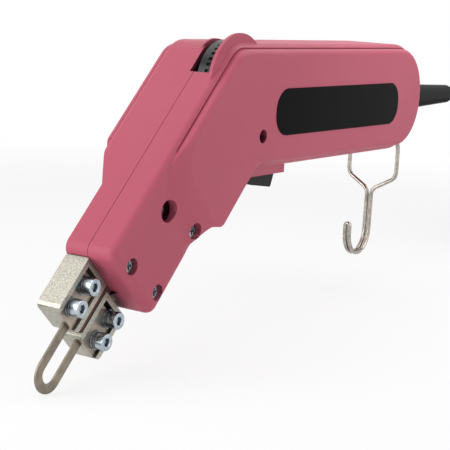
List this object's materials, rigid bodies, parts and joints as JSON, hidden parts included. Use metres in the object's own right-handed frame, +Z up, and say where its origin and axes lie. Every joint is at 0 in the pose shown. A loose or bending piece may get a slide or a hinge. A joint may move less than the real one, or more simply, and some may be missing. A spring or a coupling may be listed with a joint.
{
  "type": "electric hot knife",
  "caption": "Hand-held electric hot knife with a bent pistol-shaped housing, heat thumbwheel, trigger, clamp blocks holding a U-shaped blade, wire hook and mains cord.",
  "frame": {"origin": "middle of the grip, on the housing's mid-plane", "axes": "+X along the handle to the cord, +Y to the tool's right side, +Z up"},
  "size_m": [0.5857, 0.0642, 0.1365],
  "materials": {
    "housing": "fine satin grain",
    "dark_plastic": "satin",
    "name_plate": "gloss",
    "zinc_screw": "zinc plated",
    "steel_wire": "nickel plated wire",
    "spring_steel": "drawn wire",
    "switch_plastic": "moulded",
    "red_plastic": "moulded",
    "pot_metal": "satin",
    "shaft_metal": "turned",
    "board": "solder mask",
    "black_resin": "moulded",
    "capacitor": "dipped",
    "core_steel": "laminated",
    "bobbin": "moulded",
    "copper": "bare copper",
    "enamelled_wire": "enamelled",
    "nickel_block": "nickel plated, blasted",
    "insulator": "pressed fibre",
    "blade_steel": "scaled by heat",
    "cord_rubber": "satin",
    "terminal": "moulded",
    "tie": "satin",
    "plug_plastic": "satin",
    "pin_metal": "nickel plated"
  },
  "bodies": {
    "housing": {"left_housing": "housing", "right_housing": "housing", "housing_screws": "zinc_screw", "name_plate": "name_plate", "trigger_pin": "spring_steel", "trigger_spring": "spring_steel", "micro_switch": "switch_plastic", "potentiometer": "pot_metal", "control_board": "board", "triac": "black_resin", "capacitor": "capacitor", "transformer_core": "core_steel", "coil_bobbin": "bobbin", "primary_coil": "enamelled_wire", "secondary_coil": "copper", "upper_bus_bar": "copper", "lower_bus_bar": "copper", "upper_contact_block": "nickel_block", "lower_contact_block": "nickel_block", "insulating_strip": "insulator", "upper_clamp_plate": "nickel_block", "lower_clamp_plate": "nickel_block", "clamp_screws": "zinc_screw", "flat_washers": "zinc_screw", "spring_washers": "spring_steel", "blade": "blade_steel", "strain_relief": "cord_rubber", "inner_cord": "cord_rubber", "cord_clamp": "dark_plastic", "cord_clamp_screws": "zinc_screw", "terminal_block": "terminal", "cord_lead": "cord_rubber", "cord_hank": "cord_rubber", "cord_tail": "cord_rubber", "cord_tie": "tie", "plug_body": "plug_plastic", "plug_pins": "pin_metal"},
    "trigger": {"trigger": "dark_plastic"},
    "plunger": {"switch_plunger": "red_plastic"},
    "wheel": {"thumbwheel": "dark_plastic", "control_shaft": "shaft_metal"},
    "hook": {"hanging_hook": "steel_wire"}
  },
  "joints": [
    {"name": "trigger_press", "type": "hinge", "parent": "housing", "child": "trigger", "pos_m": [-0.066, 0, -0.022], "axis": [0, -1, 0], "range_deg": [0, 6], "stiffness_Nm_per_rad": 0.3, "springref_deg": -8.59},
    {"name": "plunger_slide", "type": "slide", "parent": "housing", "child": "plunger", "axis": [0, 0, 1], "range_m": [0, 0.0022]},
    {"name": "wheel_turn", "type": "hinge", "parent": "housing", "child": "wheel", "pos_m": [-0.0815, 0, 0.01], "axis": [0, 1, 0], "range_deg": [-135, 135]},
    {"name": "hook_swing", "type": "hinge", "parent": "housing", "child": "hook", "pos_m": [0.0758, 0, -0.019], "axis": [0, 1, 0], "range_deg": [-10, 40]}
  ],
  "couplings": [
    {"joint": "plunger_slide", "follows": "trigger_press", "m_per_rad": 0.02}
  ]
}
